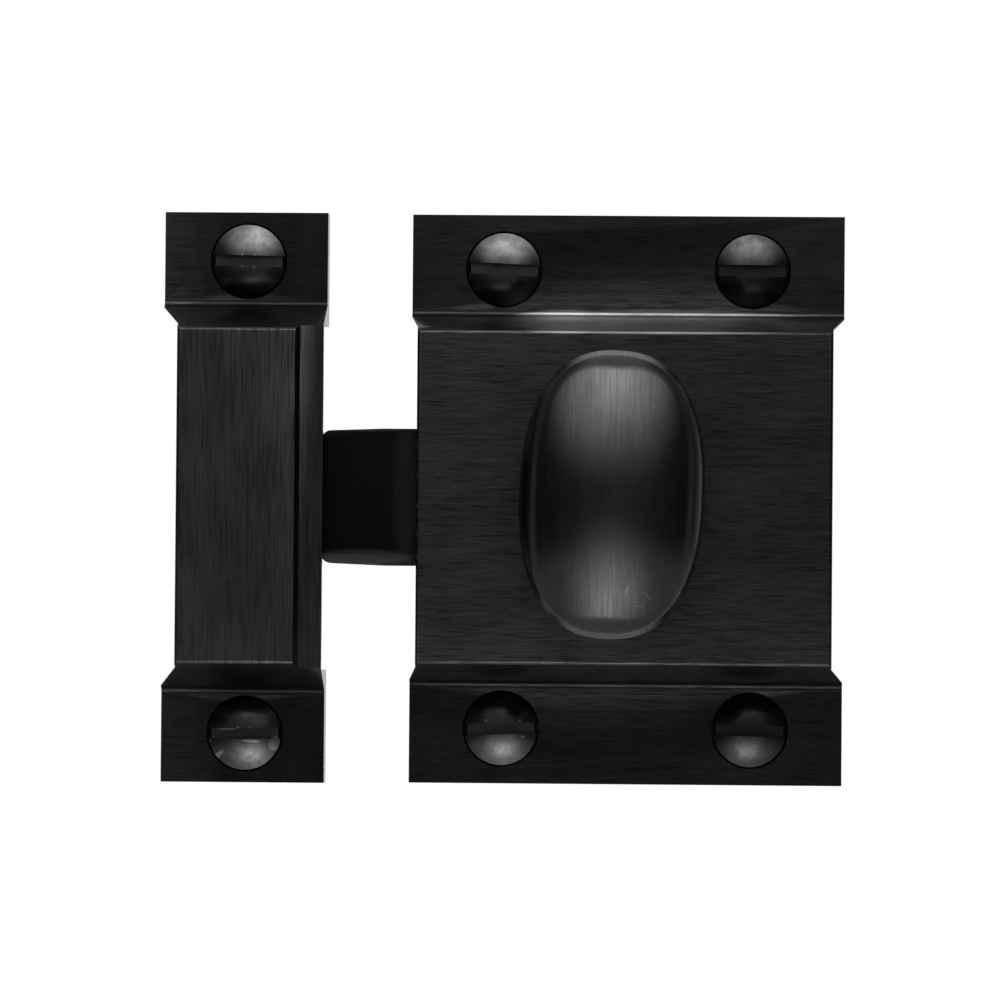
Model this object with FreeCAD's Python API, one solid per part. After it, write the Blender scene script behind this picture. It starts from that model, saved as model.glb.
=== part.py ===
# Cupboard catch latch: a surface latch with an oval turn knob and a spring bolt, and its strike.
# Millimetres. X runs to the right along the set, Z is up, and the viewer is on the -Y side.
# The plane y = 0 is the face of the door and frame that both castings are screwed to.
# The origin is the middle of the latch's four screws.

import FreeCAD, Part
import math
import os

V = FreeCAD.Vector

# Flanges and raised middles
PLATE_HEIGHT = 50.8
STRIKE_HEIGHT = 51.0
CASE_WIDTH = 38.6
FLANGE = 2.75
RAISE = 9.5
WALL = 2.0
CORNER = 1.5
EDGE_ROUND = 0.35
ROOT_ROUND = 0.45

# Share of a slope's height over which the waisted ends slant
NECK_SHARE = 0.85

# Latch case: the raised middle is set in from both ends of the flanges
CASE_EDGE_Z = 14.7
CASE_FOOT_Z = 16.42
CASE_LEFT_INSET = 0.74
CASE_RIGHT_INSET = 1.15
CASE_NECK_Z = 15.0
CAVITY_LEFT = -16.3
CAVITY_RIGHT = 15.95
CAVITY_Z = 12.6

# Strike: its pad is a step above the lip that the bolt passes under
STRIKE_LEFT = -41.5
STRIKE_RIGHT = -26.9
STRIKE_EDGE_Z = 14.8
STRIKE_FOOT_Z = 17.2
STRIKE_INSET = 1.67
STRIKE_NECK_Z = 15.2
PAD_EDGE_X = -29.36
STEP_FOOT_X = -28.95
LIP_FRONT = 8.75
LIP_DROP = 0.35
POCKET_LEFT = -38.1
POCKET_Z = 13.6
POCKET_DEPTH = 7.65

# Bolt and its mouth
BOLT_HALF = 6.05
BOLT_TIP = -27.1
BOLT_FRONT = 7.35
BOLT_BACK = 1.3
BOLT_INNER_END = -13.3
BEVEL_X = -21.6
BEVEL_DEPTH = 3.7
TIP_TAPER = 0.2
TIP_ROUND = 0.9
LOW_BEVEL_UP = 1.0
LOW_BEVEL_BACK = 0.4
BODY_LEFT = -16.25
BODY_RIGHT = 6.6
BODY_HALF = 9.1
BODY_BACK = 4.2
ARM_INNER_Z = 3.7
SLIDE_GAP = 0.1
SLOT_GAP = 0.3
TRAVEL = 7.5

# Spindle, cam and clip
KNOB_X = -1.21
SPINDLE_R = 2.5
SPINDLE_BORE_R = 2.55
SPINDLE_END = 15.0
SQUARE = 3.5
SHOULDER_GAP = 0.05
PILOT_R = 1.5
PILOT_BORE_R = 1.55
PILOT_SHORT = 0.1
GROOVE_R = 1.1
FIT_GAP = 0.02
CAM_FRONT = 4.05
CAM_BACK = 1.9
CAM_TURN = math.pi / 2
CAM_BASE_R = TRAVEL / CAM_TURN
CAM_HUB_R = 3.4
CAM_START = 0.45
CAM_CLEAR = 0.05
CAM_RUN_IN = 0.12
CAM_RUN_OUT = 0.03
CAM_STEPS = 10
CAM_NOSE = (-0.85, -0.7)
CAM_SHOULDER = (-0.35, -1.5)
CAM_HOLLOW = (-4.6, 4.3)
CAM_HEEL = (-2.9, 0.6)
CAM_ROOT = (1.2, 0.6)
CLIP_FRONT = 1.85
CLIP_BACK = 1.35
CLIP_R = 2.6
CLIP_MOUTH = 1.8

# Knob: an oval head on a waisted neck, its crown drawn in from the widest outline
KNOB_BASE = 9.8
KNOB_FRONT = 27.0
KNOB_HALF_W = 7.97
KNOB_HALF_H = 12.42
KNOB_LEAN = 2.0
OVAL_POWER = 2.4
OVAL_POINTS = 24
BORE_SPARE = 0.2
CROWN_R_ACROSS = 12.3
CROWN_R_UP = 22.6
CROWN_BACK = 23.0
CROWN_HALF = 10.0
CROWN_ROUND = 0.5

# Springs, of thin wire bent in short straight lengths
SPRING_R = 1.65
SPRING_WIRE = 0.35
SPRING_TURNS = 7
SPRING_CORNERS = 12
SPRING_END_GAP = 0.05
SPRING_HOLE_R = 2.0
SPRING_Y = -4.4
SPRING_Z = 6.4
SPRING_FLOOR = 2.2

# Back plate and the pins that hold it
PLATE_LEFT = -16.9
PLATE_RIGHT = 16.7
PLATE_HALF = 16.0
PLATE_THICK = 1.0
PLATE_GAP = 0.05
PIN_X = 13.5
PIN_Z = 14.2
PIN_R = 0.8
PIN_DEPTH = 4.2

# Number 6 oval-head wood screws
CASE_SCREW_X = 11.1
CASE_SCREW_Z = 20.52
STRIKE_SCREW_X = -34.0
STRIKE_SCREW_Z = 21.13
HEAD_R = 3.4
DOME = 0.9
HEAD_DEPTH = 1.9
SHANK_R = 1.75
THREAD_R = 1.5
THREAD_START = 0.3
SINK_GAP = 0.03
SCREW_HOLE_R = 1.95
SCREW_LENGTH = 15.9
POINT_LENGTH = 3.2
SLOT_WIDTH = 0.98
SLOT_DEPTH = 1.25
SLOT_TURNS = {"case": [2.5, 0.5, -1.5, 1.5], "strike": [1.0, -1.0]}


def block(x0, x1, y0, y1, z0, z1):
    """A plain box between two corners."""
    return Part.makeBox(x1 - x0, y1 - y0, z1 - z0, V(x0, y0, z0))


def turned(radius, x, z, y0, y1):
    """A cylinder along Y from y0 to y1."""
    return Part.makeCylinder(radius, y1 - y0, V(x, y0, z), V(0, 1, 0))


def prism(points, direction):
    """A closed outline of points, drawn out along a direction."""
    return Part.Face(Part.makePolygon(points + points[:1])).extrude(direction)


def rounded(shape, radius, chosen):
    """The shape with a round on each edge that the test chooses."""
    edges = [edge for edge in shape.Edges if chosen(edge.BoundBox)]
    return shape.makeFillet(radius, edges)


def near(value, target):
    return abs(value - target) < 0.01


def hat(x0, x1, half, edge_z, foot_z):
    """A plate with a raised middle, the same all along X, with a round in each root of the slopes."""
    side = [V(x0, 0, -half), V(x0, -FLANGE, -half), V(x0, -FLANGE, -foot_z), V(x0, -RAISE, -edge_z)]
    other = [V(p.x, p.y, -p.z) for p in reversed(side)]
    body = prism(side + other, V(x1 - x0, 0, 0))
    roots = lambda b: near(b.YMin, -FLANGE) and near(b.YMax, -FLANGE) and near(abs(b.ZMin), foot_z)
    return rounded(body, ROOT_ROUND, lambda b: roots(b) and b.XLength > 1)


def waist(end, side, inset, neck_z, foot_z):
    """The cut that sets the raised middle in from one end of the flanges, with slanting necks."""
    inner = end - side * inset
    outer = end + side
    flank = neck_z + (foot_z - neck_z) * NECK_SHARE
    low = [V(inner, 1, -neck_z), V(end, 1, -flank), V(outer, 1, -flank)]
    high = [V(p.x, p.y, -p.z) for p in reversed(low)]
    return prism(low + high, V(0, -RAISE - 2, 0))


def soften(body):
    """Small rounds on the front edges of a raised middle."""
    crest = lambda b: near(b.YMin, -RAISE) and near(b.YMax, -RAISE)
    return rounded(body, EDGE_ROUND, crest)


def pocket(x0, x1, half, y_deep, y_open):
    """A hollow with rounded upright corners, open to the back."""
    hollow = block(x0, x1, -y_deep, y_open, -half, half)
    return rounded(hollow, CORNER, lambda b: b.YLength > 0.5 and b.XLength < 0.01 and b.ZLength < 0.01)


def screw_hole(x, z):
    """A clearance hole with a countersink for an oval-head screw."""
    sink = Part.makeCone(HEAD_R + SINK_GAP, SHANK_R + SINK_GAP, HEAD_DEPTH, V(x, -FLANGE, z), V(0, 1, 0))
    return sink.fuse(turned(SCREW_HOLE_R, x, z, -FLANGE, 1))


def wood_screw(x, z, turn):
    """An oval-head slotted screw: dome, countersunk cone, plain shank, threaded part and point."""
    dome_r = (HEAD_R**2 + DOME**2) / (2 * DOME)
    half_angle = math.asin(HEAD_R / dome_r) / 2
    mid = V(dome_r * math.sin(half_angle), -DOME + dome_r * (1 - math.cos(half_angle)), 0)
    neck = FLANGE + THREAD_START
    tip = SCREW_LENGTH
    profile = [
        Part.Arc(V(0, -DOME, 0), mid, V(HEAD_R, 0, 0)).toShape(),
        Part.makePolygon([
            V(HEAD_R, 0, 0), V(SHANK_R, HEAD_DEPTH, 0), V(SHANK_R, neck, 0), V(THREAD_R, neck, 0),
            V(THREAD_R, tip - POINT_LENGTH, 0), V(0, tip, 0), V(0, -DOME, 0),
        ]),
    ]
    wire = Part.Wire([edge for part in profile for edge in part.Edges])
    screw = Part.Face(wire).revolve(V(0, 0, 0), V(0, 1, 0), 360)
    slot = block(-HEAD_R, HEAD_R, -DOME - 1, SLOT_DEPTH - DOME, -SLOT_WIDTH / 2, SLOT_WIDTH / 2)
    screw = screw.cut(slot)
    screw.rotate(V(0, 0, 0), V(0, 1, 0), turn)
    screw.translate(V(x, -FLANGE, z))
    return screw


def latch_case():
    """The cast case: flanges, hollow raised middle, bolt mouth, spindle bore and back rebate."""
    half = CASE_WIDTH / 2
    body = hat(-half, half, PLATE_HEIGHT / 2, CASE_EDGE_Z, CASE_FOOT_Z)
    body = body.cut(waist(-half, -1, CASE_LEFT_INSET, CASE_NECK_Z, CASE_FOOT_Z))
    body = body.cut(waist(half, 1, CASE_RIGHT_INSET, CASE_NECK_Z, CASE_FOOT_Z))
    body = soften(body)
    body = body.cut(pocket(CAVITY_LEFT, CAVITY_RIGHT, CAVITY_Z, RAISE - WALL, 1))
    body = body.cut(pocket(PLATE_LEFT, PLATE_RIGHT, PLATE_HALF, PLATE_THICK, 1))
    mouth_z = BOLT_HALF + SLIDE_GAP
    body = body.cut(block(-half - 1, CAVITY_LEFT + 1, -RAISE + WALL, -PLATE_THICK, -mouth_z, mouth_z))
    body = body.cut(turned(SPINDLE_BORE_R, KNOB_X, 0, -RAISE - 1, -1))
    for x, z in case_screw_places():
        body = body.cut(screw_hole(x, z))
    for x, z in pin_places():
        body = body.cut(turned(PIN_R, x, z, -PIN_DEPTH, 0))
    return body


def case_screw_places():
    return [(x, z) for z in (CASE_SCREW_Z, -CASE_SCREW_Z) for x in (-CASE_SCREW_X, CASE_SCREW_X)]


def pin_places():
    return [(x, z) for z in (PIN_Z, -PIN_Z) for x in (-PIN_X, PIN_X)]


def back_plate():
    """The sheet in the case's rebate, with the bearing hole for the spindle's pilot."""
    gap = PLATE_GAP
    plate = pocket(PLATE_LEFT + gap, PLATE_RIGHT - gap, PLATE_HALF - gap, PLATE_THICK, 0)
    plate = plate.cut(turned(PILOT_BORE_R, KNOB_X, 0, -2, 1))
    for x, z in pin_places():
        plate = plate.cut(turned(PIN_R, x, z, -2, 1))
    return plate


def back_plate_pins():
    """Four plain pins through the plate into the case, filed flush with the back."""
    return Part.makeCompound([turned(PIN_R - FIT_GAP, x, z, -PIN_DEPTH, 0) for x, z in pin_places()])


def oval(y, half_w, half_h, power):
    """A closed curve between an ellipse and a rounded rectangle, in the plane at y."""
    points = []
    for i in range(OVAL_POINTS):
        angle = 2 * math.pi * i / OVAL_POINTS
        c, s = math.cos(angle), math.sin(angle)
        x = half_w * math.copysign(abs(c) ** (2 / power), c)
        z = half_h * math.copysign(abs(s) ** (2 / power), s)
        points.append(V(x, y, z))
    curve = Part.BSplineCurve()
    curve.interpolate(Points=points, PeriodicFlag=True)
    return Part.Wire([curve.toShape()])


def crown():
    """A barrel that is rounder across than up, whose front is the knob's crowned face."""
    apex = V(0, -KNOB_FRONT, 0)
    side_y = apex.y + CROWN_R_ACROSS - math.sqrt(CROWN_R_ACROSS**2 - CROWN_HALF**2)
    axis_y = apex.y + CROWN_R_UP
    left = V(-CROWN_HALF, side_y, 0)
    right = V(CROWN_HALF, side_y, 0)
    arc = Part.Arc(left, apex, right).toShape()
    rest = Part.makePolygon([right, V(CROWN_HALF, axis_y, 0), V(-CROWN_HALF, axis_y, 0), left])
    face = Part.Face(Part.Wire(arc.Edges + rest.Edges))
    return face.revolve(V(0, axis_y, 0), V(1, 0, 0), 360)


def knob():
    """The oval turn: a waisted neck that swells into the head, a crowned face and a blind bore."""
    sections = [
        (-KNOB_BASE, 4.8, 4.8, 2.0),
        (-11.0, 4.6, 4.6, 2.0),
        (-13.2, 4.05, 4.1, 2.0),
        (-15.4, 4.2, 4.75, 2.0),
        (-17.2, 5.35, 7.3, 2.1),
        (-18.8, 6.85, 10.2, 2.2),
        (-20.3, 7.65, 11.8, 2.3),
        (-21.9, KNOB_HALF_W, KNOB_HALF_H, OVAL_POWER),
        (-23.4, 7.66, 11.85, OVAL_POWER),
        (-27.5, 5.3, 6.85, OVAL_POWER),
    ]
    wires = [oval(*section) for section in sections]
    head = Part.makeLoft(wires, True, True, False)
    head = head.common(crown())
    rim = lambda b: b.XLength > 1 and b.ZLength > 1 and b.YMax < -CROWN_BACK
    head = rounded(head, CROWN_ROUND, rim)
    head = head.cut(turned(SPINDLE_R + FIT_GAP, 0, 0, -SPINDLE_END - BORE_SPARE, 0))
    head.rotate(V(0, 0, 0), V(0, 1, 0), KNOB_LEAN)
    head.translate(V(KNOB_X, 0, 0))
    return head


def spindle():
    """The pin: round through the knob and case, square in the cam, grooved, with a pilot end."""
    shoulder = -CAM_FRONT - SHOULDER_GAP
    square_end = -CAM_BACK + FIT_GAP
    body = turned(SPINDLE_R, KNOB_X, 0, -SPINDLE_END, shoulder)
    half = SQUARE / 2
    body = body.fuse(block(KNOB_X - half, KNOB_X + half, shoulder, square_end, -half, half))
    body = body.fuse(turned(PILOT_R, KNOB_X, 0, square_end, -PILOT_SHORT))
    groove = turned(PILOT_R + 1, KNOB_X, 0, -CLIP_FRONT - FIT_GAP, -CLIP_BACK + FIT_GAP)
    return body.cut(groove.cut(turned(GROOVE_R, KNOB_X, 0, -3, 0)))


def unwound(roll):
    """The point of the cam's working flank that the bolt meets after the given roll."""
    turn = math.pi / 2 + roll - CAM_START
    x = CAM_BASE_R * (math.cos(turn) + roll * math.sin(turn))
    z = CAM_BASE_R * (math.sin(turn) - roll * math.cos(turn))
    return V(x, -CAM_FRONT, z)


def cam():
    """The snail tooth: its flank unwinds from a base circle, so it moves the bolt evenly."""
    first = CAM_START - CAM_RUN_IN
    last = CAM_START + CAM_TURN + CAM_RUN_OUT
    flank = [unwound(first + (last - first) * i / CAM_STEPS) for i in range(CAM_STEPS + 1)]
    curve = Part.BSplineCurve()
    curve.interpolate(Points=flank)
    tip = flank[-1]
    nose = tip + V(CAM_NOSE[0], 0, CAM_NOSE[1])
    back = tip + V(CAM_SHOULDER[0], 0, CAM_SHOULDER[1])
    hollow, heel, root = [V(x, -CAM_FRONT, z) for x, z in (CAM_HOLLOW, CAM_HEEL, CAM_ROOT)]
    edges = [
        curve.toShape(),
        Part.Arc(tip, nose, back).toShape(),
        Part.Arc(back, hollow, heel).toShape(),
        Part.makeLine(heel, root),
        Part.makeLine(root, flank[0]),
    ]
    thick = CAM_FRONT - CAM_BACK
    tooth = Part.Face(Part.Wire(edges)).extrude(V(0, thick, 0))
    body = turned(CAM_HUB_R, 0, 0, -CAM_FRONT, -CAM_BACK).fuse(tooth).removeSplitter()
    half = SQUARE / 2 + FIT_GAP
    body = body.cut(block(-half, half, -CAM_FRONT - 1, 0, -half, half))
    body.translate(V(KNOB_X, 0, 0))
    return body


def cam_clip():
    """The open ring in the spindle's groove."""
    ring = turned(CLIP_R, KNOB_X, 0, -CLIP_FRONT, -CLIP_BACK)
    ring = ring.cut(turned(GROOVE_R + FIT_GAP, KNOB_X, 0, -3, 0))
    half = CLIP_MOUTH / 2
    return ring.cut(block(KNOB_X - half, KNOB_X + half, -3, 0, -CLIP_R - 1, 0))


def bolt_nose():
    """The thick front end: slightly tapered, bevelled behind, with worn corners and edges."""
    side = [V(BOLT_TIP, -BOLT_FRONT, 0), V(BOLT_INNER_END, -BOLT_FRONT, 0),
            V(BOLT_INNER_END, -BOLT_BACK, 0), V(BEVEL_X, -BOLT_BACK, 0),
            V(BOLT_TIP, -BOLT_BACK - BEVEL_DEPTH, 0)]
    bar = prism([V(p.x, p.y, -BOLT_HALF) for p in side], V(0, 0, 2 * BOLT_HALF))
    tip_half = BOLT_HALF - TIP_TAPER
    plan = [V(BOLT_TIP, 0, -tip_half), V(BEVEL_X, 0, -BOLT_HALF), V(BOLT_INNER_END, 0, -BOLT_HALF),
            V(BOLT_INNER_END, 0, BOLT_HALF), V(BEVEL_X, 0, BOLT_HALF), V(BOLT_TIP, 0, tip_half)]
    outline = prism(plan, V(0, -RAISE, 0))
    outline = rounded(outline, TIP_ROUND, lambda b: b.YLength > 1 and near(b.XMin, BOLT_TIP))
    bar = bar.common(outline)
    front = -BOLT_FRONT - LOW_BEVEL_BACK
    below = -BOLT_HALF - LOW_BEVEL_UP
    low = [V(BOLT_TIP, front, below), V(BOLT_TIP, front, -BOLT_HALF + 2 * LOW_BEVEL_UP),
           V(BOLT_TIP, -BOLT_FRONT + 2 * LOW_BEVEL_BACK, below)]
    return bar.cut(prism(low, V(BODY_LEFT - BOLT_TIP, 0, 0)))


def bolt():
    """The bolt: nose, flat body with a slot round the spindle, and two arms bored for the springs."""
    body = block(BODY_LEFT, BODY_RIGHT, -BOLT_FRONT, -BODY_BACK, -BODY_HALF, BODY_HALF)
    body = body.fuse(bolt_nose())
    lug_x = KNOB_X + CAM_BASE_R * CAM_START + CAM_CLEAR
    for z0, z1 in ((ARM_INNER_Z, BODY_HALF), (-BODY_HALF, -ARM_INNER_Z)):
        body = body.fuse(block(lug_x, BODY_RIGHT, -BOLT_FRONT, -BOLT_BACK, z0, z1))
    body = body.removeSplitter()
    slot_r = SPINDLE_R + SLOT_GAP
    slot_left = KNOB_X - TRAVEL
    slot = block(slot_left, KNOB_X, -RAISE, 0, -slot_r, slot_r)
    slot = slot.fuse(turned(slot_r, slot_left, 0, -RAISE, 0)).fuse(turned(slot_r, KNOB_X, 0, -RAISE, 0))
    body = body.cut(slot)
    for z in (SPRING_Z, -SPRING_Z):
        hole = Part.makeCylinder(SPRING_HOLE_R, BODY_RIGHT - SPRING_FLOOR + 1, V(SPRING_FLOOR, SPRING_Y, z),
                                 V(1, 0, 0))
        body = body.cut(hole)
    return body


def spring(z):
    """A compression spring from the floor of an arm's bore to the case's end wall."""
    half = SPRING_WIRE / 2
    start_x = SPRING_FLOOR + half + SPRING_END_GAP
    length = CAVITY_RIGHT - half - SPRING_END_GAP - start_x
    count = SPRING_TURNS * SPRING_CORNERS
    points = []
    for i in range(count + 1):
        angle = 2 * math.pi * i / SPRING_CORNERS
        turn = V(length * i / count, SPRING_R * math.sin(angle), SPRING_R * math.cos(angle))
        points.append(V(start_x, SPRING_Y, z) + turn)
    way = (points[1] - points[0]).normalize()
    out = V(0, 0, half)
    across = way.cross(out)
    ring = [points[0] + out * a + across * b for a, b in ((1, 1), (-1, 1), (-1, -1), (1, -1))]
    path = Part.makePolygon(points)
    return path.makePipeShell([Part.makePolygon(ring + ring[:1])], True, False, 1)


def strike():
    """The cast strike: flanges, a pad with a lower lip, and a pocket open behind and on the bolt's side."""
    body = hat(STRIKE_LEFT, STRIKE_RIGHT, STRIKE_HEIGHT / 2, STRIKE_EDGE_Z, STRIKE_FOOT_Z)
    body = body.cut(waist(STRIKE_LEFT, -1, STRIKE_INSET, STRIKE_NECK_Z, STRIKE_FOOT_Z))
    body = soften(body)
    top = -RAISE - 1
    end = STRIKE_RIGHT + 1
    low = LIP_DROP - LIP_FRONT
    step = [V(PAD_EDGE_X, -RAISE, 0), V(STEP_FOOT_X, -LIP_FRONT, 0), V(STRIKE_RIGHT, low, 0),
            V(end, low, 0), V(end, top, 0), V(PAD_EDGE_X, top, 0)]
    half = STRIKE_EDGE_Z + 1
    body = body.cut(prism([V(p.x, p.y, -half) for p in step], V(0, 0, 2 * half)))
    body = body.cut(pocket(POCKET_LEFT, STRIKE_RIGHT + 2 * CORNER, POCKET_Z, POCKET_DEPTH, 1))
    for z in (STRIKE_SCREW_Z, -STRIKE_SCREW_Z):
        body = body.cut(screw_hole(STRIKE_SCREW_X, z))
    return body


def screws(places, turns):
    """A set of mounting screws, each with its slot where the screwdriver left it."""
    return Part.makeCompound([wood_screw(x, z, turn) for (x, z), turn in zip(places, turns)])


def main():
    strike_places = [(STRIKE_SCREW_X, STRIKE_SCREW_Z), (STRIKE_SCREW_X, -STRIKE_SCREW_Z)]
    nodes = {
        "latch_case": latch_case(),
        "back_plate": back_plate(),
        "back_plate_pins": back_plate_pins(),
        "knob": knob(),
        "spindle": spindle(),
        "cam": cam(),
        "cam_clip": cam_clip(),
        "bolt": bolt(),
        "upper_spring": spring(SPRING_Z),
        "lower_spring": spring(-SPRING_Z),
        "case_mounting_screws": screws(case_screw_places(), SLOT_TURNS["case"]),
        "strike": strike(),
        "strike_mounting_screws": screws(strike_places, SLOT_TURNS["strike"]),
    }
    os.makedirs("parts", exist_ok=True)
    for name, shape in nodes.items():
        print(name, shape.isValid(), len(shape.Solids), round(shape.Volume, 2))
        shape.exportStep(f"parts/{name}.step")


main()
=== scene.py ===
# Cupboard catch latch with its strike: a blackened, brushed brass set seen nearly square on.
# Sizes are in millimetres, turned to metres by mm(). X runs along the set, Z is up, the viewer is at -Y.

import math

import bmesh
import bpy
from mathutils import Matrix, Quaternion, Vector

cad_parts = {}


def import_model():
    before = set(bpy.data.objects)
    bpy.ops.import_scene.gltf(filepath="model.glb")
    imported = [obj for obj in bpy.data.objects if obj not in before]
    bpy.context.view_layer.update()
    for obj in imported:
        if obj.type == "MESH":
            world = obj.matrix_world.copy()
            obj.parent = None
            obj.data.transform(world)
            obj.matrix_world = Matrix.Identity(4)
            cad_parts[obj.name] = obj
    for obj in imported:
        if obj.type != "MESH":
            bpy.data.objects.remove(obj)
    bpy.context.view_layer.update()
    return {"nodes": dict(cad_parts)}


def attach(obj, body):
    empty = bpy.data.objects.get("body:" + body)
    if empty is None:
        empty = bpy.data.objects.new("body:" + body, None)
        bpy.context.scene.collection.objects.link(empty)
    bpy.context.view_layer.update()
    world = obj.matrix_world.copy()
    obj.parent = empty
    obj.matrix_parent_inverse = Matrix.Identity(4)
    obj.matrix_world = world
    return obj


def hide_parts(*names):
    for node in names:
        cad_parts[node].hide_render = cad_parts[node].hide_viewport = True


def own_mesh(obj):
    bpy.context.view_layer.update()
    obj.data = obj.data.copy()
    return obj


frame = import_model()

# Castings
PLATE_FRONT = -2.75
CASTING_BEVEL = 0.12
SMALL_BEVEL = 0.08
CASTING_CREASE = 25
MERGE = 0.002

# The strike's right side is trimmed a little behind each slope: the block's middle, its size and its turn
STRIKE_TRIMS = [((-26.98, -3.55, side * 14.35), (1.3, 8.4, 2.1), -4) for side in (1, -1)]

# Knob outlines from the neck over the widest place to the rim, as depth, half width, half height and
# squareness, where 2 is an ellipse. The rim band runs on towards RIM_FRONT until the crowned face cuts it.
KNOB_X = -1.21
KNOB_LEAN = 2.0
KNOB_OUTLINES = [
    (-9.8, 4.8, 4.8, 2.0), (-10.2, 4.72, 4.72, 2.0), (-11.0, 4.55, 4.55, 2.0),
    (-12.1, 4.25, 4.25, 2.0), (-13.2, 4.08, 4.12, 2.0), (-14.3, 4.05, 4.3, 2.0),
    (-15.4, 4.25, 4.85, 2.0), (-16.3, 4.7, 5.9, 2.05), (-17.2, 5.35, 7.3, 2.1),
    (-18.0, 6.1, 8.85, 2.15), (-18.8, 6.8, 10.15, 2.2), (-19.6, 7.3, 11.15, 2.25),
    (-20.3, 7.63, 11.78, 2.3), (-21.0, 7.83, 12.17, 2.35), (-21.6, 7.93, 12.36, 2.4),
    (-21.9, 7.97, 12.42, 2.4), (-22.15, 7.93, 12.35, 2.4), (-23.4, 7.66, 11.85, 2.4),
]
RIM_FRONT = (-27.5, 5.3, 6.85, 2.4)
RIM_HALVINGS = 30
KNOB_FRONT = -27.0
CROWN_R_ACROSS = 12.3
CROWN_R_UP = 22.6
CROWN_ROUND = 0.45
CROWN_SHARES = [0.89, 0.82, 0.74, 0.66, 0.57, 0.48, 0.39, 0.3, 0.21, 0.12, 0.04]
KNOB_BORE_R = 2.52
KNOB_BORE_END = -15.2
KNOB_BACK = -9.8
KNOB_SIDES = 128
KNOB_ANGLES = [2 * math.pi * side / KNOB_SIDES for side in range(KNOB_SIDES)]
KNOB_CREASE = 30

# Mounting screws: number 6, slotted, oval head. Their places are x, z and the turn of the slot in degrees.
HEAD_R = 3.25
DOME = 0.9
DOME_STEPS = 14
DOME_FLANK = 2.9
HEAD_LAND = 0.06
HEAD_DEPTH = 1.9
SHANK_R = 1.75
SHANK_TAPER = 0.4
THREAD_ROOT_R = 1.2
THREAD_CREST_R = 1.62
THREAD_PITCH = 1.4
THREAD_HALF = 0.28 * THREAD_PITCH
THREAD_SUNK = 0.1
THREAD_START = 3.05
THREAD_LEAD = 0.5
THREAD_STEPS = 24
THREAD_AT_POINT = 0.15
POINT_R = 0.12
POINT_TIP = 0.1
POINT_LENGTH = 3.2
SCREW_LENGTH = 15.9
SCREW_BEVEL = 0.06
SCREW_BEVEL_FROM = 40
SCREW_CREASE = 28
SLOT_WIDTH = 0.98
SLOT_DEPTH = 1.25
SLOT_CUT = 4.0
SLOT_LENGTH = 2.4 * HEAD_R
CASE_SCREWS = [(-11.1, 20.52, 2.5), (11.1, 20.52, 0.5), (-11.1, -20.52, -1.5), (11.1, -20.52, 1.5)]
STRIKE_SCREWS = [(-34.0, 21.13, 1.0), (-34.0, -21.13, -1.0)]

# Springs
SPRING_R = 1.65
SPRING_WIRE = 0.35
SPRING_TURNS = 7
SPRING_SIDES = 8
SPRING_STEPS = 24
SPRING_LEFT = 2.43
SPRING_RIGHT = 15.72
SPRING_Y = -4.4
SPRING_Z = 6.4

# Wear, marks, painted reflections and painted highlights, each as x, z, half length, half height and turn; a
# mark goes right through its piece
MARK_Y = -6
MARK_REACH = 200
# The upper slope is painted bright as a painted reflection of the light above: a broad patch and its brighter
# core.
UPPER_SLOPE_PAINTED_REFLECTIONS = [(3.5, 15.7, 17, 1.35, 0), (-5.5, 15.7, 6.0, 1.35, 0)]
UPPER_SLOPE_PAINTED_REFLECTION_CORE = [(-5.0, 15.7, 7.5, 1.2, 0)]
# Dark patches at the right end of the upper slope's root and on the lower slope.
CASE_DARK_PATCHES = [(16.0, 16.15, 3.4, 0.3, 0), (-2.0, -15.6, 2.0, 0.35, 0)]
CASE_SCRATCHES = [(-11.6, 3.2, 2.2, 0.06, 1), (-11.8, 2.1, 1.8, 0.05, -2), (-11.4, 0.9, 2.0, 0.05, 0)]
CASE_CHIPS = [
    (-18.5, 4.6, 0.12, 0.5, 0), (-18.5, 1.9, 0.1, 0.35, 0), (-18.45, -0.8, 0.12, 0.25, 0),
    (-18.5, -3.3, 0.1, 0.6, 0), (-18.45, -5.3, 0.15, 0.3, 0),
]
STRIKE_CAST_MARKS = [(-28.7, 16.75, 2.0, 0.35, 0), (-33.0, 16.8, 2.6, 0.2, 0)]
KNOB_SCUFFS = [
    (0.15, -8.2, 0.07, 0.5, 15), (1.9, -8.7, 0.06, 0.5, -35), (1.2, -9.6, 0.45, 0.06, 0),
    (-6.9, -0.5, 0.1, 0.1, 0), (-5.5, -1.1, 0.09, 0.09, 0), (-6.05, -3.05, 0.08, 0.08, 0),
    (2.3, 7.4, 0.12, 0.07, 0),
]
BOLT_RUBS = [(-19.6, 0.0, 1.4, 9.0, 0)]
# Painted highlights along the bolt's lower and upper edges, standing in for the soft boxes' reflection in
# them.
BOLT_EDGE_PAINTED_HIGHLIGHTS = [(-23.6, -5.35, 5.0, 0.8, 0), (-23.0, 6.1, 4.0, 0.35, 0)]
SCREW_CHIPS = [
    (-31.3, -22.0, 0.6, 0.75, 20), (-36.5, -23.2, 0.9, 0.26, -40), (-37.15, -21.7, 0.2, 0.42, 10),
    (-35.6, -20.75, 0.9, 0.1, 0), (-33.4, -21.8, 0.9, 0.1, 4),
    (-9.1, -21.2, 0.2, 0.14, 0), (-9.4, -19.8, 0.16, 0.12, 0), (-12.4, -19.8, 0.14, 0.12, 0),
]

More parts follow.
